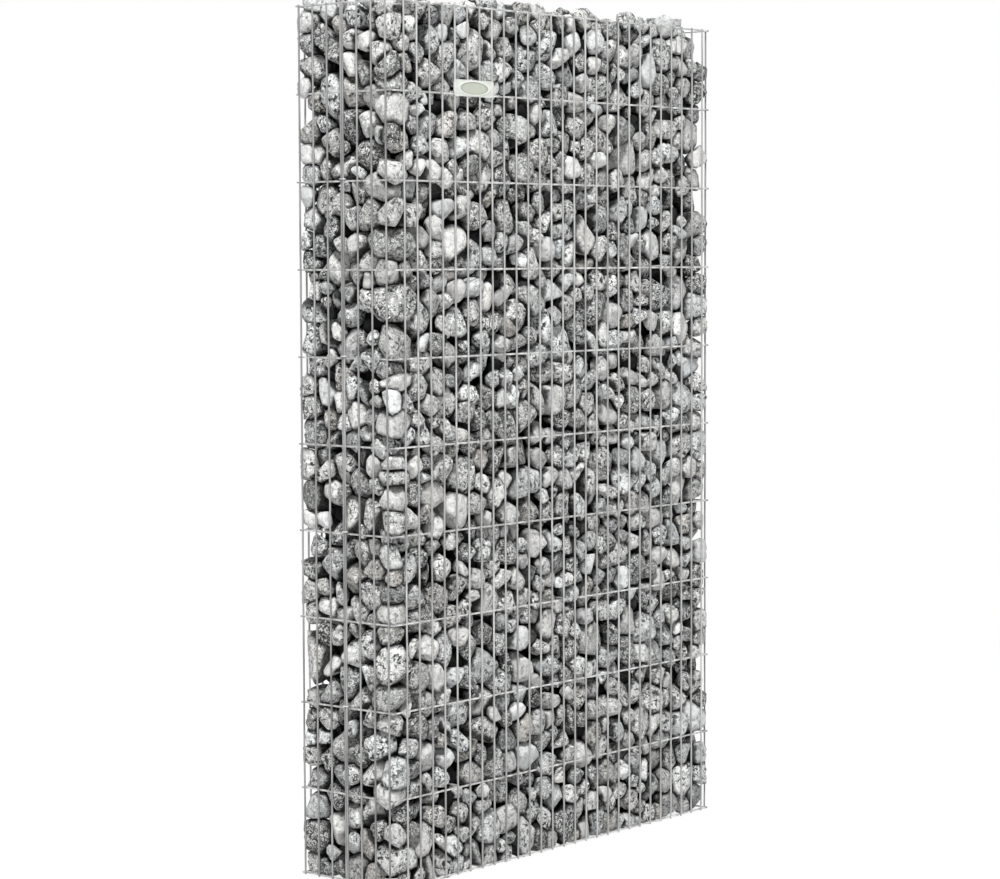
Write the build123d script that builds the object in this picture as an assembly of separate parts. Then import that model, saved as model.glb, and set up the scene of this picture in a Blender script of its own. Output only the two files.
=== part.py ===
"""Slim free-standing gabion wall: two bent welded-wire mats, spacer ties and a fill of stones.

Millimetres, +Z up. The origin is on the ground under the middle of the wall. X runs along the
wall, the front faces -Y, and left and right are as seen from the front. The two mats are one
product: the back mat is the front mat turned half round about Z.
"""

import os
from math import cos, pi, radians, tan

from build123d import *

# Welded mat: wires, their spacing and the bends at the corners
wire_d = 4.5
wire_sides = 6
wire_pitch = 43.5
row_height = 200.0
row_count = 10
face_wire_count = 27
return_wire_count = 4
first_margin = 46.0
last_margin = 33.0
bend_radius = 6.5
wire_overhang = 6.0

# Running clearance between pieces that only lie against each other
seat_gap = 0.3

# Spacer ties that hook over every second row wire of both mats, beside three uprights of the front
spacer_d = 3.5
spacer_step_count = 9
spacer_rows = range(1, row_count, 2)
middle_wire = (face_wire_count + 1) // 2
spacer_wires = {
    "left": middle_wire - spacer_step_count,
    "middle": middle_wire,
    "right": middle_wire + spacer_step_count,
}

# Seam clips that hold the ends of the two mats together, on the rows between
clip_wire = 3.0
clip_corner = 2.5
clip_rows = range(2, row_count, 2)

# Stone fill
fill_corner = 20.0
crown_height = 20.0
crown_edge = 14.0

# Blank plate clipped to the front wires over the uppermost ties
plate_cell_count = 3
plate_first_wire = spacer_wires["left"]
plate_last_wire = plate_first_wire + plate_cell_count
plate_row = spacer_rows[0]
plate_height = 38.0
plate_drop = 5.0
plate_thickness = 1.2
plate_lip = 4.0

# Sizes that follow from the ones above
wire_r = wire_d / 2
wire_corner_d = wire_d / cos(pi / wire_sides)
wire_corner_r = wire_corner_d / 2
return_start = wire_d + bend_radius + wire_r
return_end = return_start + (return_wire_count - 1) * wire_pitch
length = first_margin + (face_wire_count - 1) * wire_pitch + last_margin
depth = 2 * return_end + wire_corner_d + seat_gap
height = row_count * row_height + 2 * wire_overhang
end_plane = length / 2
face_plane = depth / 2
mat_inside = wire_d + wire_r
spacer_r = spacer_d / 2
spacer_axis_offset = wire_corner_r + seat_gap + spacer_r


def row_z(row):
    """Height of a row wire's axis, counted down from the top row, which is row 0."""
    return wire_overhang + (row_count - row) * row_height


def face_wire_x(number):
    """Place of an upright of the front mat's face, counted from the left, which is wire 1."""
    return -end_plane + first_margin + (number - 1) * wire_pitch


def turned(shape):
    """The same piece of the back mat."""
    return Rot(0, 0, 180) * shape


def wire_section(rotation):
    return RegularPolygon(wire_r, wire_sides, major_radius=False, rotation=rotation)


half_side = 180 / wire_sides


def upright(x, y, flats_along_x):
    """One vertical wire, with a flat towards the row wires that it is welded to."""
    section = wire_section(half_side if flats_along_x else 0)
    return Pos(x, y, 0) * extrude(section, height)


def face_mesh():
    """Face of the mat: uprights outside, row wires inside, welded where they cross.

    The row wires run on round the bend at both corners, up to where the returns begin.
    """
    uprights = [upright(face_wire_x(n + 1), -face_plane, False) for n in range(face_wire_count)]
    row_x = -end_plane + wire_d
    row_y = -face_plane + wire_d
    bend_step = bend_radius * (1 - tan(radians(45) / 2))
    path = Polyline(
        (row_x, row_y + bend_radius),
        (row_x, row_y + bend_step),
        (row_x + bend_step, row_y),
        (-row_x - bend_step, row_y),
        (-row_x, row_y + bend_step),
        (-row_x, row_y + bend_radius),
    )
    start = Plane(origin=path @ 0, x_dir=(1, 0, 0), z_dir=(0, -1, 0))
    bent = sweep(start * wire_section(half_side), path, transition=Transition.RIGHT)
    rows = [Pos(0, 0, row_z(row)) * bent for row in range(row_count + 1)]
    return uprights[0].fuse(*uprights[1:], *rows)


def left_return():
    """Left return of the front mat: from the corner's bend to the seam in the end face."""
    uprights = [
        upright(-end_plane, -face_plane + return_start + n * wire_pitch, True)
        for n in range(return_wire_count)
    ]
    row_start = -face_plane + wire_d + bend_radius
    row_length = return_end + wire_corner_r - wire_d - bend_radius
    straight = extrude(Plane.XZ * wire_section(half_side), -row_length)
    rows = [
        Pos(-end_plane + wire_d, row_start, row_z(row)) * straight for row in range(row_count + 1)
    ]
    return uprights[0].fuse(*uprights[1:], *rows)


def spacer(x, row):
    """One tie across the fill: a straight rod with a hook over the row wire at both faces."""
    hook_y = face_plane - wire_d
    step = spacer_axis_offset * tan(radians(45) / 2)
    hook = [
        (hook_y + step, row_z(row) + spacer_axis_offset),
        (hook_y + spacer_axis_offset, row_z(row) + step),
        (hook_y + spacer_axis_offset, row_z(row) - step),
        (hook_y + step, row_z(row) - spacer_axis_offset),
    ]
    front = [(x, -y, z) for y, z in reversed(hook)]
    back = [(x, y, z) for y, z in hook]
    path = Polyline(*front, *back)
    start = Plane(origin=path @ 0, x_dir=(1, 0, 0), z_dir=path % 0)
    section = RegularPolygon(spacer_r, wire_sides, rotation=half_side)
    return sweep(start * section, path, transition=Transition.RIGHT)


def spacer_x(wire):
    """A tie lies just beside its upright of the front face."""
    return face_wire_x(wire) + wire_corner_r + seat_gap + spacer_r


def joint_z(row):
    """Top of the stones that a row of ties lies in."""
    return row_z(row) + wire_corner_r + spacer_d + 2 * seat_gap


def fill_block(bottom, top):
    """Stones between two heights, just inside the mats, with the corners left open."""
    inside = mat_inside + seat_gap
    plan = Rectangle(length - 2 * inside, depth - 2 * inside)
    return Pos(0, 0, bottom) * extrude(chamfer(plan.vertices(), fill_corner), top - bottom)


def stone_lift(bottom, top):
    """Stones filled in one go, with a channel in their top for each tie laid on them."""
    channel_width = spacer_d + 2 * seat_gap
    channel = Box(channel_width, depth, channel_width, align=(Align.CENTER, Align.CENTER, Align.MAX))
    channels = [Pos(spacer_x(wire), 0, top) * channel for wire in spacer_wires.values()]
    return fill_block(bottom, top) - channels


def crown_lift(bottom):
    """Top lift: stones heaped a little over the top row wires, sloping off at the edges."""
    lift = fill_block(bottom, height + crown_height)
    return chamfer(lift.faces().sort_by(Axis.Z)[-1].edges(), crown_edge)


def seam_clips(side):
    """Wire rings round the last uprights of both mats, each sitting on a row wire."""
    ring_x = wire_d + 2 * seat_gap
    ring_y = 2 * wire_corner_d + 3 * seat_gap
    outer = Rectangle(ring_x + 2 * clip_wire, ring_y + 2 * clip_wire)
    clip = extrude(chamfer(outer.vertices(), clip_corner) - Rectangle(ring_x, ring_y), clip_wire)
    return [
        Pos(side * end_plane, 0, row_z(row) + wire_corner_r + seat_gap) * clip for row in clip_rows
    ]


def blank_plate():
    """Bare sheet in front of a few uprights, with a tab at each end bent round its wire."""
    sheet_y = -face_plane - wire_r - seat_gap - plate_thickness / 2
    lip_y = -face_plane + wire_r + seat_gap + plate_thickness / 2
    side = wire_corner_r + seat_gap + plate_thickness / 2
    left = face_wire_x(plate_first_wire) - side
    right = face_wire_x(plate_last_wire) + side
    flat = trace(Line((left, sheet_y), (right, sheet_y)), plate_thickness)
    tabbed = trace(
        Polyline(
            (left + plate_lip, lip_y),
            (left, lip_y),
            (left, sheet_y),
            (right, sheet_y),
            (right, lip_y),
            (right - plate_lip, lip_y),
        ),
        plate_thickness,
    )
    bottom = row_z(plate_row) - plate_drop
    tab_bottom = row_z(plate_row) + wire_corner_r + seat_gap
    sheet = Pos(0, 0, bottom) * extrude(flat, plate_height)
    return sheet + Pos(0, 0, tab_bottom) * extrude(tabbed, bottom + plate_height - tab_bottom)


def all_nodes():
    face = face_mesh()
    left = left_return()
    right = mirror(left, about=Plane.YZ)
    nodes = {
        "front_mesh": face,
        "front_mesh_left_return": left,
        "front_mesh_right_return": right,
        "back_mesh": turned(face),
        "back_mesh_left_return": turned(right),
        "back_mesh_right_return": turned(left),
        "left_seam_clips": seam_clips(-1),
        "right_seam_clips": seam_clips(1),
        "blank_plate": blank_plate(),
    }
    for row in spacer_rows:
        for place, wire in spacer_wires.items():
            nodes[f"spacer_row_{row}_{place}"] = spacer(spacer_x(wire), row)
    bottom = 0.0
    for number, row in enumerate(reversed(spacer_rows), 1):
        nodes[f"stone_lift_{number}"] = stone_lift(bottom, joint_z(row))
        bottom = joint_z(row)
    nodes["crown_stone_lift"] = crown_lift(bottom)
    return nodes


def main():
    os.makedirs("parts", exist_ok=True)
    for name, shape in all_nodes().items():
        solids = shape if isinstance(shape, list) else shape.solids()
        export_step(Compound(children=list(solids)), f"parts/{name}.step")


main()
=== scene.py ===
"""Looks of the slim gabion wall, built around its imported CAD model.

Metres, in the CAD frame: X runs along the wall, the front faces -Y, Z is up, and left and right
are as seen from the front. Row wires are counted down from the top, which is row 0.
"""

from math import cos, pi, radians, sin

import bmesh
import bpy
import numpy as np
from mathutils import Matrix, Vector


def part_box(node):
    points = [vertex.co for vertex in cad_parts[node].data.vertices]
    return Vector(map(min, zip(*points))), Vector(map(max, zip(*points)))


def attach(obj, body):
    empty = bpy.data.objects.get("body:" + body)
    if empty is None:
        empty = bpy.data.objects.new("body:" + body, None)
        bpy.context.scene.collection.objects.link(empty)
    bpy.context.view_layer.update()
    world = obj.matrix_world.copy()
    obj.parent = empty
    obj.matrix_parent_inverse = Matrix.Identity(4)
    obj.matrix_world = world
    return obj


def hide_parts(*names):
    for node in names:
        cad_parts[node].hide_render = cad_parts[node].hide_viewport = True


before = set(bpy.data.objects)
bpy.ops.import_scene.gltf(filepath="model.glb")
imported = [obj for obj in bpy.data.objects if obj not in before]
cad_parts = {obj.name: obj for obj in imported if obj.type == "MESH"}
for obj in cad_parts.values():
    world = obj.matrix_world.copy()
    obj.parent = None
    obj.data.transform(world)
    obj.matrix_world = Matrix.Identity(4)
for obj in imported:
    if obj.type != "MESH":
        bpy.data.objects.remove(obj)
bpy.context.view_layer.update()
rng = np.random.default_rng(20)

# Cage, as in the CAD model
wire_d = 0.0045
wire_pitch = 0.0435
row_height = 0.2
row_count = 10
face_wire_count = 27
return_wire_count = 4
lift_count = 5
first_margin = 0.046
bend_radius = 0.0065
wire_overhang = 0.006
wire_r = wire_d / 2
front_low, front_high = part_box("front_mesh")
return_low, return_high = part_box("front_mesh_left_return")
cage_top = front_high.z
face_plane = -front_low.y - wire_r
end_plane = -return_low.x - wire_r
return_start = wire_d + bend_radius + wire_r
seam_y = return_high.y
row_zs = [wire_overhang + (row_count - row) * row_height for row in range(row_count + 1)]

# Stones: mean half size, its spread, the share of the cage that they fill before they are pressed
stone_r_mean = 0.0275
stone_r_spread = 0.3
stone_r_limits = (0.014, 0.044)
packed_share = 0.735
stone_gap = 0.0006
row_gap = 0.0028
end_under_row_gap = 0.006
face_under_row_gap = 0.016
crown_rise = 0.032
crown_top = cage_top + crown_rise
crown_drop = 0.042

# Camera, fitted to the crossings of the wires in the photograph
photo_width_px = 1000
focal_px = 2757.9
camera_place = Vector((-5.1563, -4.2985, 1.4403))
camera_yaw = radians(49.876)
camera_pitch = radians(3.843)
camera_roll = radians(-0.195)
camera_reach = 200


# Mesh helpers


def joined(parts):
    """Several (points, faces) pairs as one."""
    points = []
    faces = []
    start = 0
    for part_points, part_faces in parts:
        points.append(np.asarray(part_points))
        faces.extend([tuple(start + corner for corner in face) for face in part_faces])
        start += len(part_points)
    return np.concatenate(points), faces


def piece(name, points, faces, material, nodes, sharp_angle=None):
    """A mesh that stands for CAD nodes and rides on the wall."""
    mesh = bpy.data.meshes.new(name)
    mesh.from_pydata(points, [], faces)
    mesh.shade_smooth()
    if sharp_angle is not None:
        mesh.set_sharp_from_angle(angle=sharp_angle)
    mesh.materials.append(material)
    obj = bpy.data.objects.new(name, mesh)
    bpy.context.scene.collection.objects.link(obj)
    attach(obj, "root")
    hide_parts(*nodes)
    return obj


def tube(path, radius, across, sides=8):
    """Points and faces of a round wire along a path that is nowhere parallel to across."""
    path = np.asarray(path, float)
    along = np.gradient(path, axis=0)
    along /= np.linalg.norm(along, axis=1, keepdims=True)
    side = np.cross(along, np.asarray(across, float))
    side /= np.linalg.norm(side, axis=1, keepdims=True)
    other = np.cross(along, side)
    turn = np.arange(sides) * 2 * pi / sides
    ring = np.cos(turn)[None, :, None] * side[:, None] + np.sin(turn)[None, :, None] * other[:, None]
    points = (path[:, None] + radius * ring).reshape(-1, 3)
    faces = []
    for step in range(len(path) - 1):
        for k in range(sides):
            a = step * sides + k
            b = step * sides + (k + 1) % sides
            faces.append((a, b, b + sides, a + sides))
    last = (len(path) - 1) * sides
    faces.append(tuple(range(sides))[::-1])
    faces.append(tuple(range(last, last + sides)))
    return points, faces


def ball(cuts):
    """Unit directions and triangles of a ball: an icosahedron with each edge cut into pieces."""
    mesh = bmesh.new()
    bmesh.ops.create_icosphere(mesh, subdivisions=1, radius=1)
    if cuts:
        bmesh.ops.subdivide_edges(mesh, edges=mesh.edges, cuts=cuts, use_grid_fill=True)
    directions = np.array([v.co for v in mesh.verts])
    triangles = np.array([[v.index for v in f.verts] for f in mesh.faces])
    mesh.free()
    return directions / np.linalg.norm(directions, axis=1, keepdims=True), triangles


# Materials


class Shader:
    """A material's node tree, built one node at a time."""

    def __init__(self, name):
        self.material = bpy.data.materials.new(name)
        self.material.use_nodes = True
        self.tree = self.material.node_tree
        self.surface = self.tree.nodes["Principled BSDF"]

    def node(self, kind, inputs=None, **settings):
        node = self.tree.nodes.new(kind)
        for key, value in settings.items():
            setattr(node, key, value)
        self.feed(node, inputs or {})
        return node

    def feed(self, node, inputs):
        for name, value in inputs.items():
            if isinstance(value, bpy.types.NodeSocket):
                self.tree.links.new(value, node.inputs[name])
            else:
                node.inputs[name].default_value = value

    def attribute(self, name, output):
        return self.node("ShaderNodeAttribute", attribute_name=name).outputs[output]

    def noise(self, vector, scale, detail, roughness, distortion):
        inputs = {
            "Vector": vector,
            "Scale": scale,
            "Detail": detail,
            "Roughness": roughness,
            "Distortion": distortion,
        }
        return self.node("ShaderNodeTexNoise", inputs).outputs["Fac"]

    def spread(self, value, low, high, to_low=0.0, to_high=1.0):
        """A value between low and high, stretched to another range and held at its ends."""
        inputs = {
            "Value": value,
            "From Min": low,
            "From Max": high,
            "To Min": to_low,
            "To Max": to_high,
        }
        return self.node("ShaderNodeMapRange", inputs).outputs["Result"]

    def pattern(self, vector, values, to_low=0.0, to_high=1.0):
        """Noise, stretched so that its values from low to high fill another range."""
        scale, detail, roughness, distortion, low, high = values
        noise = self.noise(vector, scale, detail, roughness, distortion)
        return self.spread(noise, low, high, to_low, to_high)

    def math(self, operation, a, b):
        node = self.node("ShaderNodeMath", operation=operation)
        self.feed(node, {0: a, 1: b})
        return node.outputs[0]

    def mix(self, factor, a, b, blend="MIX"):
        node = self.node("ShaderNodeMix", data_type="RGBA", blend_type=blend)
        self.feed(node, {0: factor, 6: a, 7: b})
        return node.outputs[2]

    def bump(self, height, strength, distance):
        inputs = {"Height": height, "Strength": strength, "Distance": distance}
        return self.node("ShaderNodeBump", inputs).outputs["Normal"]


# Patterns: scale, detail, roughness and distortion of a noise, and its values low and high
cloud_pattern = (34.0, 4.0, 0.6, 0.6, 0.36, 0.62)
cluster_pattern = (28.0, 2.0, 0.5, 0.8, 0.36, 0.5)
mottle_pattern = (120.0, 3.0, 0.65, 1.0, 0.46, 0.5)
fleck_pattern = (160.0, 3.0, 0.65, 1.2, 0.51, 0.55)
pit_pattern = (105.0, 2.0, 0.6, 0.5, 0.445, 0.405)
streak_pattern = (1.0, 3.0, 0.6, 0.0, 0.35, 0.65)
spangle_pattern = (420.0, 3.0, 0.6, 0.0, 0.3, 0.7)
stain_pattern = (60.0, 5.0, 0.7, 0.0, 0.52, 0.75)
sheet_pattern = (160.0, 4.0, 0.6, 0.0, 0.35, 0.7)

# Stone: tints of its own colour, colours that it is mixed with, and how much of each
dim_tint = (0.52, 0.53, 0.53, 1)
dark_tint = (0.17, 0.178, 0.178, 1)
pale_colour = (0.82, 0.82, 0.81, 1)
pit_colour = (0.015, 0.016, 0.016, 1)
# Painted shade: near black, for stones deep behind the wires and where stones touch
painted_shade_colour = (0.008, 0.0085, 0.0085, 1)
pale_share = 0.64
dim_shares = (0.2, 0.9)
shade_share = 0.95
worn_shares = (0.1, 0.6)
pit_shares = (0.12, 0.97)
fleck_relief_share = 0.5
pit_relief_share = 1.2
stone_roughness = (0.9, 0.68)
# Gloss, which falls to none where shade is painted
stone_gloss = (0.35, 0.0)
stone_bump_share = 0.6
stone_bump_depth = 0.0015


def stone_material():
    """Tumbled stone: each stone has its own colour, amount of speckle and place in the pattern, and
    painted shade darkens stones deep in the fill and points where stones touch.
    """
    shader = Shader("tumbled_stone")
    place = shader.node("ShaderNodeTexCoord").outputs["Object"]
    shift = shader.attribute("stone_shift", "Vector")
    vector = shader.node("ShaderNodeVectorMath", {0: place, 1: shift}, operation="ADD").outputs[0]
    colour = shader.attribute("stone_colour", "Color")
    speckle = shader.attribute("stone_speckle", "Fac")
    edge = shader.attribute("stone_edge", "Fac")
    painted_shade = shader.attribute("stone_painted_shade", "Fac")
    clouds = shader.pattern(vector, cloud_pattern)
    cluster = shader.pattern(vector, cluster_pattern)
    mottle = shader.pattern(vector, mottle_pattern)
    fleck = shader.pattern(vector, fleck_pattern)
    pit = shader.pattern(vector, pit_pattern)

    dim = shader.mix(1.0, colour, dim_tint, "MULTIPLY")
    dark = shader.mix(1.0, colour, dark_tint, "MULTIPLY")
    pale = shader.mix(pale_share, colour, pale_colour)
    between_clouds = shader.math("SUBTRACT", 1.0, clouds)
    dimmed = shader.math("MULTIPLY", between_clouds, shader.spread(speckle, 0, 1, *dim_shares))
    base = shader.mix(dimmed, colour, dim)
    speckled = shader.math("MULTIPLY", cluster, speckle)
    shade = shader.math("MULTIPLY", shader.math("SUBTRACT", 1.0, mottle), speckled)
    base = shader.mix(shader.math("MULTIPLY", shade, shade_share), base, dark)
    base = shader.mix(shader.math("MULTIPLY", fleck, speckle), base, pale)
    worn = shader.math("MULTIPLY", edge, shader.spread(clouds, 0, 1, *worn_shares))
    base = shader.mix(worn, base, pale)
    pit_depth = shader.math("MULTIPLY", pit, shader.spread(speckled, 0, 1, *pit_shares))
    base = shader.mix(pit_depth, base, pit_colour)
    # Painted shade: stones deep in the fill and points where stones touch go near black and lose their
    # gloss
    base = shader.mix(painted_shade, base, painted_shade_colour)

    relief = shader.math("ADD", mottle, shader.math("MULTIPLY", fleck, fleck_relief_share))
    relief = shader.math("SUBTRACT", relief, shader.math("MULTIPLY", pit, pit_relief_share))
    shader.feed(
        shader.surface,
        {
            "Base Color": base,
            "Roughness": shader.spread(mottle, 0, 1, *stone_roughness),
            "Specular IOR Level": shader.spread(painted_shade, 0, 1, *stone_gloss),
            "Normal": shader.bump(relief, stone_bump_share, stone_bump_depth),
        },
    )
    return shader.material


# Zinc: colours and roughness, shares of its colour and tone, and the upward slope from which it is
# darkest
mesh_zinc = ((0.58, 0.583, 0.575, 1), 0.42)
tie_zinc = ((0.6, 0.605, 0.6, 1), 0.4)
darkening_slope = 0.6
upward_darkening_share = 0.72
drawn_stretch = (60, 60, 5)
streak_shares = (0.66, 1.36)
stained_share = 0.62
stain_share = 0.6
spangled_share = 1.18
brightest = 0.9
zinc_metallic = 0.2
zinc_roughness_steps = (0.08, -0.06)
fine_bump_depth = 0.0003
zinc_bump_share = 0.15


def galvanised_material(name, colour, roughness):
    """Dull zinc with spangle and stains: each wire has its own tone, in which light and shade are
    painted, and it is darker on top.
    """
    shader = Shader(name)
    place = shader.node("ShaderNodeTexCoord").outputs["Object"]
    normal = shader.node("ShaderNodeNewGeometry").outputs["Normal"]
    facing = shader.node("ShaderNodeSeparateXYZ", {"Vector": normal}).outputs["Z"]
    # Darker on upward-facing sides
    upward_darkening = shader.spread(facing, 0, darkening_slope, 1, upward_darkening_share)
    wire_tone = shader.math("MULTIPLY", shader.attribute("wire_tone", "Fac"), upward_darkening)
    drawn = shader.node("ShaderNodeVectorMath", {0: place, 1: drawn_stretch}, operation="MULTIPLY")
    streak = shader.pattern(drawn.outputs[0], streak_pattern, *streak_shares)
    spangle = shader.pattern(place, spangle_pattern)
    stain = shader.pattern(place, stain_pattern)
    stained = tuple(channel * stained_share for channel in colour[:3]) + (1,)
    spangled = tuple(min(channel * spangled_share, brightest) for channel in colour[:3]) + (1,)
    base = shader.mix(spangle, colour, spangled)
    base = shader.mix(shader.math("MULTIPLY", stain, stain_share), base, stained)
    tone = shader.math("MULTIPLY", wire_tone, streak)
    grey = shader.node("ShaderNodeCombineColor", {0: tone, 1: tone, 2: tone}).outputs[0]
    base = shader.mix(1.0, base, grey, "MULTIPLY")
    rough, smooth = [roughness + step for step in zinc_roughness_steps]
    shader.feed(
        shader.surface,
        {
            "Base Color": base,
            "Metallic": zinc_metallic,
            "Roughness": shader.spread(spangle, 0, 1, rough, smooth),
            "Normal": shader.bump(spangle, zinc_bump_share, fine_bump_depth),
        },
    )
    return shader.material


# Stones


# Share of a stone's half height within which it meets a row wire, hanging under it or resting on it
hanging_share = 1.12
resting_share = 0.74


def inset(heights, half_heights, under_row_gap):
    """How far inside the wires' planes a stone's face lies.

    Stones rest on the row wires, so those that meet a row wire lie behind it, and those that hang
    under one lie further back.
    """
    above = heights[:, None] - np.array(row_zs)[None]
    nearest = np.abs(above).argmin(1)
    above = above[np.arange(len(heights)), nearest]
    meet_share = np.where(above < 0, hanging_share, resting_share)
    meets_row = np.abs(above) < meet_share * half_heights + wire_r
    behind_row = wire_d + wire_r + np.where(above < 0, under_row_gap, row_gap)
    return np.where(meets_row, behind_row, wire_r + stone_gap)


def near_pairs(centres, reach):
    """Pairs of stones, each named once, whose centres are closer than their reaches together."""
    square = (centres**2).sum(1)
    apart = square[:, None] + square[None] - 2 * centres @ centres.T
    first, second = np.nonzero(np.triu(apart < (reach[:, None] + reach[None]) ** 2, 1))
    return first, second


cage_walls = ((end_plane, end_under_row_gap), (face_plane, face_under_row_gap))

# Number of stones drawn, of which those that fit are kept, and how far they are long and flat
draw_count = 9000
long_spread = 0.3
flat_spread = 0.26


class Bed:
    """Stones as ellipsoids that fill the cage without order."""

    def __init__(self):
        low = np.array([-end_plane, -face_plane, 0])
        high = np.array([end_plane, face_plane, crown_top - crown_drop / 2])
        radii = np.clip(
            rng.lognormal(np.log(stone_r_mean), stone_r_spread, draw_count), *stone_r_limits
        )
        filled = np.cumsum(4 / 3 * pi * radii**3)
        self.count = np.searchsorted(filled, packed_share * np.prod(high - low))
        self.radii = radii[: self.count]
        long_share = np.exp(np.abs(rng.normal(0, long_spread, self.count)))
        flat_share = np.exp(-np.abs(rng.normal(0, flat_spread, self.count)))
        shape = np.column_stack((long_share, np.ones(self.count), flat_share))
        shape /= np.cbrt(shape.prod(1))[:, None]
        self.half_axes = self.radii[:, None] * shape
        self.turns = leaning_turns(self.count)
        self.nearness = self.turns / self.half_axes[:, None, :]
        self.extents = np.linalg.norm(self.turns * self.half_axes[:, None, :], axis=2)
        self.centres = rng.uniform(low, high, (self.count, 3))
        self.tops = crown_top - crown_drop * rng.random(self.count)
        self.settle()

    def reach(self, stones, directions):
        """Distance from each stone's centre to its surface along a direction."""
        return 1 / np.linalg.norm(np.einsum("sk,skl->sl", directions, self.nearness[stones]), axis=1)

    def settle(self):
        """Pushes stones that overlap apart, and all of them inside the cage."""
        push_share = 0.32
        settle_steps = 260
        search_every = 10
        search_margin = 1.12
        outer_layer = 0.03
        outward_step = 0.0005
        least_distance = 1e-9
        longest = self.half_axes.max(1)
        for step in range(settle_steps):
            if step % search_every == 0:
                first, second = near_pairs(self.centres, longest * search_margin)
            between = self.centres[second] - self.centres[first]
            distance = np.linalg.norm(between, axis=1) + least_distance
            between /= distance[:, None]
            overlap = self.reach(first, between) + self.reach(second, between) - distance
            push = between * (push_share * np.maximum(overlap, 0))[:, None]
            for axis in range(3):
                self.centres[:, axis] -= np.bincount(first, push[:, axis], self.count)
                self.centres[:, axis] += np.bincount(second, push[:, axis], self.count)
            for axis, (plane, under_row_gap) in enumerate(cage_walls):
                wall = inset(self.centres[:, 2], self.extents[:, 2], under_row_gap)
                limit = plane - wall - self.extents[:, axis]
                outer = np.abs(self.centres[:, axis]) > limit - outer_layer
                pull = outward_step * np.sign(self.centres[:, axis]) * outer
                self.centres[:, axis] = np.clip(self.centres[:, axis] + pull, -limit, limit)
            lowest = self.extents[:, 2]
            highest = self.tops - self.extents[:, 2]
            drop = outward_step * (self.centres[:, 2] < lowest + outer_layer)
            self.centres[:, 2] = np.clip(self.centres[:, 2] - drop, lowest, highest)


# Mean directions of the stones' flat sides and long axes, and how far they scatter
flat_mean = (0, 1, 0)
flat_scatter = (0.6, 0.3, 0.6)
long_mean = (0, 0, 0.8)
long_scatter = (0.7, 0.3, 0.4)


def leaning_turns(count):
    """Axes of stones that lie with a flat side to the faces and tend to stand on end."""
    flat = rng.normal(size=(count, 3)) * flat_scatter + flat_mean
    upright_axis = rng.normal(size=(count, 3)) * long_scatter + long_mean
    flat /= np.linalg.norm(flat, axis=1, keepdims=True)
    upright_axis -= flat * (flat * upright_axis).sum(1)[:, None]
    upright_axis /= np.linalg.norm(upright_axis, axis=1, keepdims=True)
    return np.stack((upright_axis, np.cross(flat, upright_axis), flat), 2)


# Walls round a stone: the cage's ends and faces, the ground and the crown
wall_normals = np.array([[1, 0, 0], [-1, 0, 0], [0, 1, 0], [0, -1, 0], [0, 0, -1], [0, 0, 1]])
wall_axes = np.abs(wall_normals).argmax(1)
shown_walls = [0, 1, 2, 3, 5]

# Shape of a stone: how sharp its edges are, how far it swells, its worn facets and its lumps
blend_power = 36
edge_share = 0.045
swell_shares = (1.18, 1.4)
facet_shares = (0.62, 0.98)
facet_count_range = (6, 12)
wave_count = 5
wave_pitch = 2.8
lump_share = 0.1


def stone_points(directions, bed, stone, planes, fullness):
    """A tumbled stone: an ellipsoid worn flat here and there, and pressed by what lies around it.

    planes holds unit normals and distances from the centre, with the walls last. A high power
    blends the surfaces. Each point comes with how far it lies on an edge and touches a neighbour.
    """
    swell = rng.uniform(*swell_shares) * fullness
    normals, distances = planes
    facet_count = rng.integers(*facet_count_range)
    facets = rng.normal(size=(facet_count, 3))
    facets /= np.linalg.norm(facets, axis=1, keepdims=True)
    facet_distances = rng.uniform(*facet_shares, facet_count) * fullness
    facet_distances *= np.linalg.norm((facets @ bed.turns[stone]) * bed.half_axes[stone], axis=1)
    pressed = np.maximum(directions @ normals.T, 0) / distances
    waves = rng.normal(size=(wave_count, 3)) * wave_pitch
    phases = rng.uniform(0, 2 * pi, wave_count)
    lumps = 1 + lump_share * np.sin(directions @ waves.T + phases).mean(1)
    closeness = np.column_stack(
        (
            np.linalg.norm(directions @ bed.nearness[stone], axis=1) / (swell * lumps),
            pressed,
            np.maximum(directions @ facets.T, 0) / (facet_distances * lumps[:, None]),
        )
    )
    blended = (closeness**blend_power).sum(1) ** (1 / blend_power)
    edge = np.clip((blended / closeness.max(1) - 1) / edge_share, 0, 1)
    touch = pressed[:, : -len(wall_normals)].max(1, initial=0) / blended
    return bed.centres[stone] + directions / blended[:, None], edge, touch


# Kinds of stone: share of the fill, colour, spread of brightness, amount of speckle
stone_kinds = (
    (0.25, (0.63, 0.63, 0.62), 0.12, 0.42),
    (0.24, (0.58, 0.585, 0.575), 0.12, 1.0),
    (0.2, (0.44, 0.446, 0.44), 0.16, 0.9),
    (0.12, (0.34, 0.346, 0.34), 0.18, 0.8),
    (0.14, (0.15, 0.156, 0.151), 0.25, 0.95),
    (0.05, (0.37, 0.355, 0.325), 0.18, 0.8),
)

# How single stones differ: warmth, speckle, and place in the pattern
warm_tint = (1, 0, -1)
warm_spread = 0.013
speckle_spread = 0.15
shift_reach = 5


def stone_finishes(count):
    """Colour, speckle and pattern shift of each stone."""
    shares = np.array([kind[0] for kind in stone_kinds])
    kinds = rng.choice(len(stone_kinds), count, p=shares / shares.sum())
    colours = np.array([kind[1] for kind in stone_kinds])[kinds]
    spreads = np.array([kind[2] for kind in stone_kinds])[kinds]
    speckles = np.array([kind[3] for kind in stone_kinds])[kinds]
    colours = colours * np.exp(rng.normal(size=count) * spreads)[:, None]
    colours = colours * (1 + np.outer(rng.normal(size=count) * warm_spread, warm_tint))
    speckles = np.clip(speckles + rng.normal(size=count) * speckle_spread, 0, 1)
    return colours, speckles, rng.uniform(-shift_reach, shift_reach, (count, 3))


# Shares of a stone's half length in which its neighbours lie, and of its radius that stays unpressed
neighbour_share = 1.3
unpressed_share = 0.3


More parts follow.
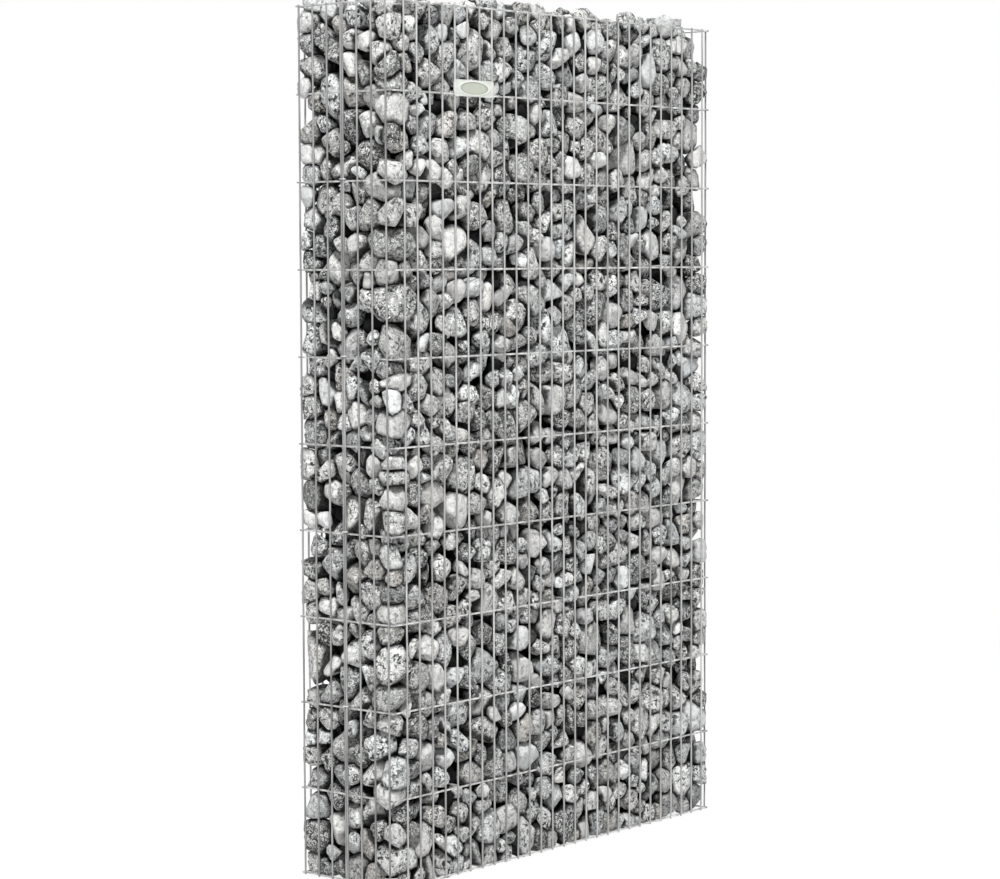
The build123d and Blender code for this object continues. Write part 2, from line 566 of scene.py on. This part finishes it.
def pressing_planes(bed):
    """Planes that press the stones: halfway to their neighbours, and at the walls.

    Gives the neighbours' normals and distances, where those of each stone start, and the distances
    of the walls from each stone.
    """
    centres = bed.centres
    first, second = near_pairs(centres, bed.half_axes.max(1) * neighbour_share)
    one = np.concatenate((first, second))
    two = np.concatenate((second, first))
    order = np.argsort(one, kind="stable")
    one, two = one[order], two[order]
    normals = centres[two] - centres[one]
    distance = np.linalg.norm(normals, axis=1)
    normals /= distance[:, None]
    press = (distance + bed.reach(one, normals) - bed.reach(two, normals) - stone_gap) / 2
    starts = np.searchsorted(one, np.arange(bed.count + 1))
    end_limit, face_limit = [
        plane - inset(centres[:, 2], bed.extents[:, 2], under_row_gap)
        for plane, under_row_gap in cage_walls
    ]
    wall_distances = np.column_stack(
        (
            end_limit - centres[:, 0],
            end_limit + centres[:, 0],
            face_limit - centres[:, 1],
            face_limit + centres[:, 1],
            centres[:, 2],
            bed.tops - centres[:, 2],
        )
    )
    return normals, press, starts, wall_distances


# Meshes from fine to coarse: cuts in a ball's edges, and how much its stone grows to stay full
ball_cuts = (4, 3, 1, 0)
ball_growth = (1, 1, 1.06, 1.2)

# Depths behind the wires, in stone radii, of the coarser meshes, and the radius that takes the finest
coarse_depths = (0.5, 1.6)
large_stone_r = 0.035

# How far a mesh's points lean to the side that shows
outward_lean = 0.45

# Stones in a corner are fuller: the share of their radius within which they lie beside a wall
beside_share = 0.4
corner_fullness = 1.28

# Painted shade between the stones: by depth in stone radii, and by how closely a point is touched
painted_shade_depths = (0.1, 0.55)
painted_shade_shares = (0, 0.98)
contact_shade_limits = (0.86, 0.98)
contact_shade_shares = (0, 0.92)


def make_stones(material):
    """The fill: one piece of single stones for each lift."""
    bed = Bed()
    colours, speckles, shifts = stone_finishes(bed.count)
    centres = bed.centres
    normals, press, starts, wall_distances = pressing_planes(bed)

    # Fine meshes for the stones that show, with more of their points on the side that shows
    balls = [ball(cuts) for cuts in ball_cuts]
    free = wall_distances[:, shown_walls] - bed.extents[:, wall_axes[shown_walls]]
    depths = free.min(1) / bed.radii
    fineness = 1 + np.searchsorted(coarse_depths, depths)
    fineness[(fineness == 1) & (bed.radii > large_stone_r)] = 0
    outward = wall_normals[shown_walls][free.argmin(1)]
    beside = beside_share * bed.radii
    by_end = free[:, :2].min(1) < beside
    by_face = free[:, 2:4].min(1) < beside
    by_ground = centres[:, 2] - bed.extents[:, 2] < beside
    in_corner = by_end.astype(int) + by_face + by_ground > 1
    fullness = np.where(in_corner, corner_fullness, 1)

    lift_names = [f"stone_lift_{number}" for number in range(1, lift_count + 1)]
    lift_names.append("crown_stone_lift")
    lift_tops = np.array([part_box(name)[1].z for name in lift_names])
    lift_tops[-1] = np.inf
    lifts = np.searchsorted(lift_tops, centres[:, 2])
    for number, name in enumerate(lift_names):
        points = []
        edges = []
        touches = []
        faces = []
        owners = []
        start = 0
        for stone in np.nonzero(lifts == number)[0]:
            directions, triangles = balls[fineness[stone]]
            directions = directions + outward_lean * outward[stone]
            directions = directions / np.linalg.norm(directions, axis=1, keepdims=True)
            rows = slice(starts[stone], starts[stone + 1])
            distances = np.concatenate((press[rows], wall_distances[stone]))
            planes = (
                np.concatenate((normals[rows], wall_normals)),
                np.maximum(distances, unpressed_share * bed.radii[stone]),
            )
            stone_surface, stone_edge, stone_touch = stone_points(
                directions, bed, stone, planes, fullness[stone]
            )
            growth = ball_growth[fineness[stone]]
            stone_surface = centres[stone] + (stone_surface - centres[stone]) * growth
            stone_surface[:, 2] = np.maximum(stone_surface[:, 2], 0)
            points.append(stone_surface)
            edges.append(stone_edge)
            touches.append(stone_touch)
            faces.append(triangles + start)
            owners.append(np.full(len(directions), stone))
            start += len(directions)
        owners = np.concatenate(owners)
        stones = piece(
            name.replace("stone_lift", "stones"),
            np.concatenate(points),
            np.concatenate(faces),
            material,
            [name],
        )
        colour = np.column_stack((colours[owners], np.ones(len(owners))))
        add_attribute(stones.data, "stone_colour", "FLOAT_COLOR", "color", colour)
        add_attribute(stones.data, "stone_speckle", "FLOAT", "value", speckles[owners])
        # Painted shade, by depth behind the wires and where stones touch
        painted_shade = np.interp(depths[owners], painted_shade_depths, painted_shade_shares)
        contact_shade = np.interp(np.concatenate(touches), contact_shade_limits, contact_shade_shares)
        painted_shade = np.maximum(painted_shade, contact_shade)
        add_attribute(stones.data, "stone_painted_shade", "FLOAT", "value", painted_shade)
        add_attribute(stones.data, "stone_edge", "FLOAT", "value", np.concatenate(edges))
        add_attribute(stones.data, "stone_shift", "FLOAT_VECTOR", "vector", shifts[owners])


def add_attribute(mesh, name, kind, field, values):
    """A value for each point of a mesh, for its material to read."""
    attribute = mesh.attributes.new(name, kind, "POINT")
    attribute.data.foreach_set(field, np.ascontiguousarray(values, np.float32).ravel())


# Wires of the cage


# Bow of the uprights between the row wires, bulge of the row wires at their bends, ends, welds
bow_steps = 4
bow_out = 0.0007
bow_side = 0.0006
bow_shares = (0.1, 1)
corner_bulge = 0.005
upright_end = 0.0032
weld_half_sizes = {"y": (0.0021, 0.0012, 0.0021), "x": (0.0012, 0.0021, 0.0021)}
weld_shares = (0.9, 1.15)

# Points along the bends and the straight stretches of the row wires, and angle of a sharp edge
bend_points = 9
row_points = 28
return_points = 12
wire_sharp_angle = radians(50)

# Tones of the zinc, with light and shade painted in: row wires lighter as if lit from above, those of
# the returns less so, return uprights darker as if in shade, and the row wires' bends past the corners
# in painted shade; and how far those of single wires differ
upright_tone = 0.56
shaded_return_tone = 0.39
lit_return_row_tone = 0.68
lit_row_tone = 0.86
tie_tone = 0.95
tone_spread = 0.1
bend_shade_share = 0.55


def wires(name, parts, material, node):
    """A piece made of wires, each given as points, faces and tone."""
    points, faces = joined([part[:2] for part in parts])
    obj = piece(name, points, faces, material, [node], wire_sharp_angle)
    tones = [np.full(len(part[0]), part[2]) for part in parts]
    add_attribute(obj.data, "wire_tone", "FLOAT", "value", np.concatenate(tones))


def own_tone(tone):
    """A tone that differs a little from wire to wire."""
    return tone * (1 + tone_spread * rng.uniform(-1, 1))


def upright(x, y, out, tone):
    """One vertical wire, pressed a little outwards and aside between the row wires."""
    zs = [row_zs[-1] - upright_end]
    bows = [0.0]
    for row in reversed(range(row_count)):
        for step in range(bow_steps):
            zs.append(row_zs[row + 1] + row_height * step / bow_steps)
            bows.append(sin(pi * step / bow_steps))
    zs += [row_zs[0], row_zs[0] + upright_end]
    bows += [0.0, 0.0]
    out = np.array(out)
    aside = np.array([out[1], out[0]])
    sizes = np.repeat(rng.uniform(*bow_shares, row_count), bow_steps)
    turns = np.repeat(rng.uniform(-1, 1, row_count), bow_steps)
    sizes = np.concatenate(([0], sizes, [0, 0]))
    turns = np.concatenate(([0], turns, [0, 0]))
    shift = np.outer(bows * sizes, out) * bow_out + np.outer(bows * turns, aside) * bow_side
    path = np.column_stack((x + shift[:, 0], y + shift[:, 1], zs))
    across = (1, 0, 0) if out[0] == 0 else (0, 1, 0)
    return *tube(path, wire_r, across), own_tone(tone)


weld_ball, weld_faces = ball(0)


def weld(x, y, z, through):
    """Bead squeezed out where two wires are welded together."""
    size = np.array(weld_half_sizes[through]) * rng.uniform(*weld_shares)
    return np.array((x, y, z)) + weld_ball * size, weld_faces, own_tone(upright_tone)


def face_parts():
    """Uprights, row wires with their bends, and welds of the front mat's face."""
    parts = []
    row_y = -face_plane + wire_d
    for number in range(face_wire_count):
        x = -end_plane + first_margin + number * wire_pitch
        parts.append(upright(x, -face_plane, (0, -1), upright_tone))
        parts += [weld(x, -face_plane + wire_r, z, "y") for z in row_zs]
    turn = np.linspace(0, pi / 2, bend_points)
    corner_x = end_plane - wire_d - bend_radius
    corner_y = row_y + bend_radius
    out = bend_radius + corner_bulge * np.sin(2 * turn)
    left = np.column_stack((-corner_x - out * np.cos(turn), corner_y - out * np.sin(turn)))
    right = left[::-1] * (-1, 1)
    middle_x = np.linspace(-corner_x, corner_x, row_points)[1:-1]
    middle = np.column_stack((middle_x, np.full(len(middle_x), row_y)))
    line = np.concatenate((left, middle, right))
    for z in row_zs:
        path = np.column_stack((line, np.full(len(line), z)))
        points, faces = tube(path, wire_r, (0, 0, 1))
        in_bend = np.abs(points[:, 0]) > corner_x
        # Row wires painted lighter as if lit from above, their bends past the corners in painted shade
        parts.append((points, faces, own_tone(lit_row_tone) * np.where(in_bend, bend_shade_share, 1)))
    return parts


def return_parts(side):
    """Uprights, row wires and welds of the front mat's return at one end."""
    parts = []
    x = side * end_plane
    row_x = side * (end_plane - wire_d)
    for number in range(return_wire_count):
        y = -face_plane + return_start + number * wire_pitch
        # Return uprights in painted shade
        parts.append(upright(x, y, (side, 0), shaded_return_tone))
        parts += [weld(x - side * wire_r, y, z, "x") for z in row_zs]
    ys = np.linspace(return_low.y, seam_y, return_points)
    for z in row_zs:
        path = np.column_stack((np.full(len(ys), row_x), ys, np.full(len(ys), z)))
        # Return row wires painted lighter as if lit from above
        parts.append((*tube(path, wire_r, (0, 0, 1)), own_tone(lit_return_row_tone)))
    return parts


def half_turn(parts):
    """Wires turned half round about the vertical."""
    return [(points * (-1, -1, 1), faces, tone) for points, faces, tone in parts]


def make_cage(material):
    """Both mats. The back one is the same product as the front one, turned half round."""
    pieces = {
        "front_mesh": face_parts(),
        "front_mesh_left_return": return_parts(-1),
        "front_mesh_right_return": return_parts(1),
        "back_mesh": half_turn(face_parts()),
        "back_mesh_left_return": half_turn(return_parts(1)),
        "back_mesh_right_return": half_turn(return_parts(-1)),
    }
    for node, parts in pieces.items():
        wires(node + "_wires", parts, material, node)


# Ties, clips and the plate


# Spacer ties: wire, how far the hooks turn round the row wires, and how far the rods sag or rise
spacer_r = 0.00175
hook_end = -0.62 * pi
hook_points = 14
rod_points = 24
rod_sway = 0.004


def make_spacers(material):
    """Rods across the fill, hooked over a row wire at both faces."""
    for node in [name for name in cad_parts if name.startswith("spacer_row")]:
        low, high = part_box(node)
        x = (low.x + high.x) / 2
        row = int(node.split("_")[2])
        hook_y = face_plane - wire_d
        around = wire_r + spacer_r + stone_gap
        turn = np.linspace(pi / 2, hook_end, hook_points)
        hook = np.column_stack((hook_y + around * np.cos(turn), row_zs[row] + around * np.sin(turn)))
        rod_y = np.linspace(-hook_y, hook_y, rod_points)[1:-1]
        sway = rng.uniform(-rod_sway, rod_sway) * np.cos(pi * rod_y / (2 * hook_y))
        rod = np.column_stack((rod_y, np.full(len(rod_y), row_zs[row] + around) + sway))
        line = np.concatenate((hook[::-1] * (-1, 1), rod, hook))
        path = np.column_stack((np.full(len(line), x), line))
        tie = (*tube(path, spacer_r, (1, 0, 0)), own_tone(tie_tone))
        wires(node + "_wire", [tie], material, node)


# Seam clips: wire, where the ring is open, how flat it is pinched, and how far it tilts
clip_r = 0.0014
clip_opening = -0.42 * pi
clip_points = 9
pinch_share = 0.72
clip_tilt = 0.08
clip_rows = range(2, row_count, 2)


def make_clips(material):
    """C-shaped rings, pinched round the last uprights of both mats."""
    for side, node in ((-1, "left_seam_clips"), (1, "right_seam_clips")):
        reach_x = wire_r + clip_r + stone_gap / 2
        flat_y = wire_r + stone_gap
        turn = np.linspace(clip_opening, pi / 2, clip_points)
        cap_y = flat_y + (reach_x + wire_r) * pinch_share * np.cos(turn)
        cap = np.column_stack((reach_x * np.sin(turn), cap_y))
        loop = np.concatenate((cap, cap[::-1] * (1, -1)))
        parts = []
        for row in clip_rows:
            tilt = rng.uniform(-clip_tilt, clip_tilt)
            x = side * (end_plane + loop[:, 0])
            z = row_zs[row] + wire_r + 2 * clip_r + tilt * loop[:, 1]
            path = np.column_stack((x, loop[:, 1], z))
            parts.append((*tube(path, clip_r, (0, 0, 1)), own_tone(tie_tone)))
        wires(node + "_rings", parts, material, node)


# Plate: sheet, its corners, the raised oval on it, and the points of its grid
plate_thickness = 0.0009
plate_corner_r = 0.005
plate_gap = 0.0002
oval_ridge = 0.0012
oval_ridge_share = 0.09
oval_shares = (0.76, 0.82)
oval_edge_share = 0.86
plate_columns = 81
plate_rows = 33
plate_sharp_angle = radians(35)

# Tabs of the plate: inset of their wires, how far they turn round them, root, gaps below and above
tab_inset = 0.0017
tab_end = 0.62 * pi
tab_points = 12
tab_root = 0.004
tab_gap_below = 0.003
tab_gap_above = 0.006

# Paint of the plate: two tones, then share and colour on the oval's field, of the painted shade along
# its edge and of the painted highlight on its ridge
sheet_tones = ((0.5, 0.52, 0.485, 1), (0.62, 0.635, 0.6, 1))
field_paint = (0.8, (0.38, 0.415, 0.34, 1))
edge_shade = (0.6, (0.2, 0.23, 0.19, 1))
ridge_highlight = (0.8, (0.64, 0.66, 0.61, 1))
edge_shade_fade = (0.03, 0.09)
ridge_highlight_fade = (0.04, 0.1)
sheet_roughness = (0.42, 0.55)
sheet_metallic = 0.1
sheet_bump_share = 0.1


def plate_material(low, high):
    """Pale coated sheet with a painted highlight on its ridge and painted shade along the edge of its
    darker oval field.
    """
    shader = Shader("plate_sheet")
    place = shader.node("ShaderNodeTexCoord").outputs["Object"]
    centre = (low + high) / 2
    half = (high - low) / 2
    scale = (1 / (oval_shares[0] * half.x), 0, 1 / (oval_shares[1] * half.z))
    moved = shader.node("ShaderNodeVectorMath", {0: place, 1: centre}, operation="SUBTRACT")
    scaled = shader.node("ShaderNodeVectorMath", {0: moved.outputs[0], 1: scale}, operation="MULTIPLY")
    length = shader.node("ShaderNodeVectorMath", {0: scaled.outputs[0]}, operation="LENGTH")
    oval = length.outputs["Value"]
    off_ridge = shader.math("ABSOLUTE", shader.math("SUBTRACT", oval, 1.0), 0)
    ridge = shader.spread(off_ridge, *ridge_highlight_fade, 1.0, 0.0)
    off_edge = shader.math("ABSOLUTE", shader.math("SUBTRACT", oval, oval_edge_share), 0)
    edge = shader.spread(off_edge, *edge_shade_fade, 1.0, 0.0)
    field = shader.spread(oval, oval_edge_share, 1.0, 1.0, 0.0)
    cloud = shader.pattern(place, sheet_pattern)
    sheet = shader.mix(cloud, *sheet_tones)
    # Darker oval field, painted shade along its edge and a painted highlight on its ridge
    for spot, (share, paint_and_painted_light) in ((field, field_paint), (edge, edge_shade), (ridge, ridge_highlight)):
        sheet = shader.mix(shader.math("MULTIPLY", spot, share), sheet, paint_and_painted_light)
    shader.feed(
        shader.surface,
        {
            "Base Color": sheet,
            "Roughness": shader.spread(cloud, 0, 1, *sheet_roughness),
            "Metallic": sheet_metallic,
            "Normal": shader.bump(cloud, sheet_bump_share, fine_bump_depth),
        },
    )
    return shader.material


def make_plate():
    """Bare pressed sheet with a raised oval field, bent round a wire at each end."""
    low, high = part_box("blank_plate")
    half_width = (high.x - low.x) / 2
    half_height = (high.z - low.z) / 2
    straight_x = half_width - plate_corner_r
    straight_z = half_height - plate_corner_r
    across = np.linspace(-1, 1, plate_columns)
    up = np.linspace(-1, 1, plate_rows)
    xs, zs = np.meshgrid(across * half_width, up * half_height)
    beyond_x = np.maximum(np.abs(xs) - straight_x, 0)
    beyond_z = np.maximum(np.abs(zs) - straight_z, 0)
    pull = plate_corner_r / np.maximum(np.hypot(beyond_x, beyond_z), plate_corner_r)
    xs = np.sign(xs) * (np.minimum(np.abs(xs), straight_x) + beyond_x * pull)
    zs = np.sign(zs) * (np.minimum(np.abs(zs), straight_z) + beyond_z * pull)
    oval = np.hypot(xs / (oval_shares[0] * half_width), zs / (oval_shares[1] * half_height))
    raised = oval_ridge * np.exp(-(((oval - 1) / oval_ridge_share) ** 2))
    front_y = low.y + oval_ridge + plate_gap
    centre_x = (low.x + high.x) / 2
    centre_z = (low.z + high.z) / 2
    front = np.stack((xs + centre_x, front_y - raised, zs + centre_z), -1).reshape(-1, 3)
    back = front + np.array((0, plate_thickness, 0))
    count = plate_columns * plate_rows
    faces = []
    for row in range(plate_rows - 1):
        for column in range(plate_columns - 1):
            a = row * plate_columns + column
            quad = (a, a + 1, a + plate_columns + 1, a + plate_columns)
            faces.append(quad)
            faces.append(tuple(count + index for index in reversed(quad)))
    grid = np.arange(count).reshape(plate_rows, plate_columns)
    sides = (grid[0], grid[1:, -1], grid[-1, -2::-1], grid[-2:0:-1, 0])
    rim = np.concatenate(sides).tolist()
    for k, a in enumerate(rim):
        b = rim[(k + 1) % len(rim)]
        faces.append((b, a, a + count, b + count))
    parts = [(np.concatenate((front, back)), faces)]
    parts += [plate_tab(side, low, high, front_y + plate_thickness / 2) for side in (-1, 1)]
    points, faces = joined(parts)
    material = plate_material(low, high)
    nodes = ["blank_plate"]
    piece("blank_plate_sheet", points, faces, material, nodes, plate_sharp_angle)


def plate_tab(side, low, high, sheet_y):
    """Strip from the plate's end round the back of its wire."""
    wire_x = (high.x if side > 0 else low.x) - side * (wire_r + tab_inset)
    around = wire_r + plate_thickness / 2 + plate_gap
    turn = np.linspace(-pi / 2, tab_end, tab_points)
    line_x = wire_x + side * around * np.cos(turn)
    line_y = -face_plane + around * np.sin(turn)
    line = np.column_stack((line_x, line_y))
    line = np.concatenate(([[wire_x - side * tab_root, sheet_y]], line))
    along = np.gradient(line, axis=0)
    along /= np.linalg.norm(along, axis=1, keepdims=True)
    normal = np.column_stack((along[:, 1], -along[:, 0])) * plate_thickness / 2
    bottom = row_zs[1] + wire_r + tab_gap_below
    top = high.z - tab_gap_above
    points = []
    for z in (bottom, top):
        for sign in (-1, 1):
            points.append(np.column_stack((line + sign * normal, np.full(len(line), z))))
    count = len(line)
    faces = []
    for k in range(count - 1):
        for a, b in ((0, 1), (1, 3), (3, 2), (2, 0)):
            faces.append((a * count + k, a * count + k + 1, b * count + k + 1, b * count + k))
    for k in (0, count - 1):
        faces.append(tuple(part * count + k for part in (0, 1, 3, 2)))
    return np.concatenate(points), faces


# Studio


# Floor: half its size, its looks, and how much of it glows, from near the wall to far away
floor_reach = 60.0
floor_looks = {"Base Color": (0.95, 0.95, 0.95, 1), "Roughness": 0.9}
glow_distances = (1.5, 4.0)
glow_shares = (0.82, 1.0)

# Light from all round, and lamps: place, size and power, all aimed at the middle of the wall
ambient_strength = 0.06
lamp_aim = Vector((0, 0, 1.0))
lamps = {
    "key": ((-5.0, -4.4, 10.5), 2.5, 2100),
    "fill": ((-6.5, -5.5, 1.2), 4.0, 80),
    "back": ((4.8, 5.6, 7.0), 4.0, 900),
}


def make_floor():
    """White floor that keeps the wall's soft shadow and runs out into the white background."""
    mesh = bpy.data.meshes.new("floor")
    quarters = ((-1, -1), (1, -1), (1, 1), (-1, 1))
    corners = [(x * floor_reach, y * floor_reach, 0) for x, y in quarters]
    mesh.from_pydata(corners, [], [(0, 1, 2, 3)])
    shader = Shader("white_floor")
    shader.feed(shader.surface, floor_looks)
    light_path = shader.node("ShaderNodeLightPath").outputs
    seen = shader.math("MAXIMUM", light_path["Is Camera Ray"], light_path["Is Glossy Ray"])
    seen = shader.math("MAXIMUM", seen, light_path["Is Transmission Ray"])
    glow = shader.node("ShaderNodeEmission", {"Color": (1, 1, 1, 1), "Strength": 1.0})
    place = shader.node("ShaderNodeTexCoord").outputs["Object"]
    away = shader.node("ShaderNodeVectorMath", {0: place}, operation="LENGTH").outputs["Value"]
    share = shader.spread(away, *glow_distances, *glow_shares)
    blend = shader.node("ShaderNodeMixShader")
    factor = shader.math("MULTIPLY", seen, share)
    shader.feed(blend, {0: factor, 1: shader.surface.outputs[0], 2: glow.outputs[0]})
    output = shader.tree.nodes["Material Output"]
    shader.feed(output, {"Surface": blend.outputs[0]})
    mesh.materials.append(shader.material)
    floor = bpy.data.objects.new("floor", mesh)
    bpy.context.scene.collection.objects.link(floor)


def make_world():
    """Soft even light from all round, and plain white where the background shows."""
    world = bpy.data.worlds.new("studio")
    world.use_nodes = True
    tree = world.node_tree
    tree.nodes.clear()
    light_path = tree.nodes.new("ShaderNodeLightPath")
    ambient = tree.nodes.new("ShaderNodeBackground")
    ambient.inputs["Strength"].default_value = ambient_strength
    white = tree.nodes.new("ShaderNodeBackground")
    for background in (ambient, white):
        background.inputs["Color"].default_value = (1, 1, 1, 1)
    seen = light_path.outputs["Is Camera Ray"]
    for ray in ("Is Glossy Ray", "Is Transmission Ray"):
        either = tree.nodes.new("ShaderNodeMath")
        either.operation = "MAXIMUM"
        tree.links.new(seen, either.inputs[0])
        tree.links.new(light_path.outputs[ray], either.inputs[1])
        seen = either.outputs[0]
    blend = tree.nodes.new("ShaderNodeMixShader")
    tree.links.new(seen, blend.inputs[0])
    tree.links.new(ambient.outputs[0], blend.inputs[1])
    tree.links.new(white.outputs[0], blend.inputs[2])
    output = tree.nodes.new("ShaderNodeOutputWorld")
    tree.links.new(blend.outputs[0], output.inputs["Surface"])
    bpy.context.scene.world = world


def make_lamp(name, place, size, power):
    """Round lamp, aimed at the wall."""
    lamp = bpy.data.lights.new(name, "AREA")
    lamp.shape = "DISK"
    lamp.size = size
    lamp.energy = power
    obj = bpy.data.objects.new(name, lamp)
    obj.location = place
    obj.rotation_euler = (lamp_aim - Vector(place)).to_track_quat("-Z", "Y").to_euler()
    bpy.context.scene.collection.objects.link(obj)


def make_camera():
    """Camera that sees the wall as the photograph shows it."""
    camera = bpy.data.cameras.new("camera")
    camera.sensor_fit = "HORIZONTAL"
    camera.lens = camera.sensor_width * focal_px / photo_width_px
    camera.clip_end = camera_reach
    forward = Vector(
        (
            sin(camera_yaw) * cos(camera_pitch),
            cos(camera_yaw) * cos(camera_pitch),
            -sin(camera_pitch),
        )
    )
    level = Vector((cos(camera_yaw), -sin(camera_yaw), 0))
    above = level.cross(forward)
    right = level * cos(camera_roll) + above * sin(camera_roll)
    up = above * cos(camera_roll) - level * sin(camera_roll)
    obj = bpy.data.objects.new("camera", camera)
    turn = Matrix((right, up, -forward)).transposed().to_4x4()
    obj.matrix_world = Matrix.Translation(camera_place) @ turn
    bpy.context.scene.collection.objects.link(obj)
    bpy.context.scene.camera = obj


make_stones(stone_material())
make_cage(galvanised_material("galvanised_wire", *mesh_zinc))
tie_material = galvanised_material("tie_wire", *tie_zinc)
make_spacers(tie_material)
make_clips(tie_material)
make_plate()
make_floor()
make_world()
for lamp_name, lamp_values in lamps.items():
    make_lamp(lamp_name, *lamp_values)
make_camera()
bpy.context.scene.view_settings.view_transform = "Standard"
